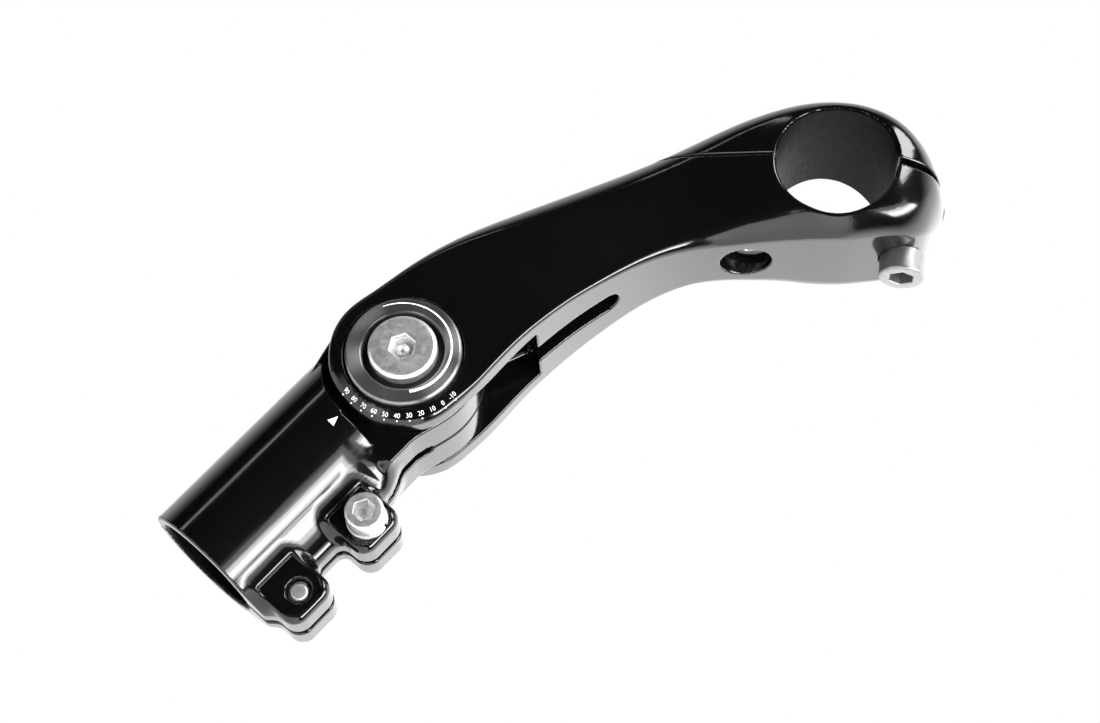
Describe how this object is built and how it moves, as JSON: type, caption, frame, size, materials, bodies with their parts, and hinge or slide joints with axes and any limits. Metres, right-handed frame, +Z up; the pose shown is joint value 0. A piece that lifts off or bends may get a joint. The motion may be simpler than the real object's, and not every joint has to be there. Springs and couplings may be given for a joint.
{
  "type": "handlebar stem",
  "caption": "Adjustable handlebar stem: a split clamp for the steerer tube, a curved arm that folds forwards on a toothed pivot, and a bar clamp with a long lift-off cap.",
  "frame": {"origin": "centre of the steerer clamp's lower face", "axes": "+Z up the steerer bore, +X forwards, the way the arm folds, +Y to the rider's left"},
  "size_m": [0.1043, 0.0446, 0.2088],
  "materials": {
    "black_gloss_aluminium": "polished and gloss black",
    "steel_bolts": "zinc plated",
    "grey_ring": "grey anodised",
    "black_washer": "black oxide",
    "seal_rubber": "moulded",
    "sleeve_brass": "turned"
  },
  "bodies": {
    "steerer_clamp": {"steerer_clamp": "black_gloss_aluminium", "clamp_bolt_lower": "steel_bolts", "clamp_bolt_upper": "steel_bolts", "clamp_washer_lower": "steel_bolts", "clamp_washer_upper": "steel_bolts", "pivot_sleeve": "sleeve_brass", "knuckle_ring_near": "grey_ring", "knuckle_ring_far": "grey_ring", "dust_seal_near": "seal_rubber", "dust_seal_far": "seal_rubber"},
    "arm": {"arm": "black_gloss_aluminium", "angle_ring": "grey_ring", "far_ring": "grey_ring", "pivot_washer_near": "black_washer", "pivot_washer_far": "black_washer", "pivot_bolt": "steel_bolts", "pivot_nut": "steel_bolts", "bar_bolt_front": "steel_bolts", "bar_bolt_rear": "steel_bolts"},
    "bar_cap": {"bar_cap": "black_gloss_aluminium"}
  },
  "joints": [
    {"name": "arm_angle", "type": "hinge", "parent": "steerer_clamp", "child": "arm", "pos_m": [0.0035, 0, 0.0715], "axis": [0, 1, 0], "range_deg": [0, 100]},
    {"name": "cap_lift", "type": "slide", "parent": "arm", "child": "bar_cap", "axis": [-0.5577, 0, 0.83], "range_m": [0, 0.02]}
  ]
}
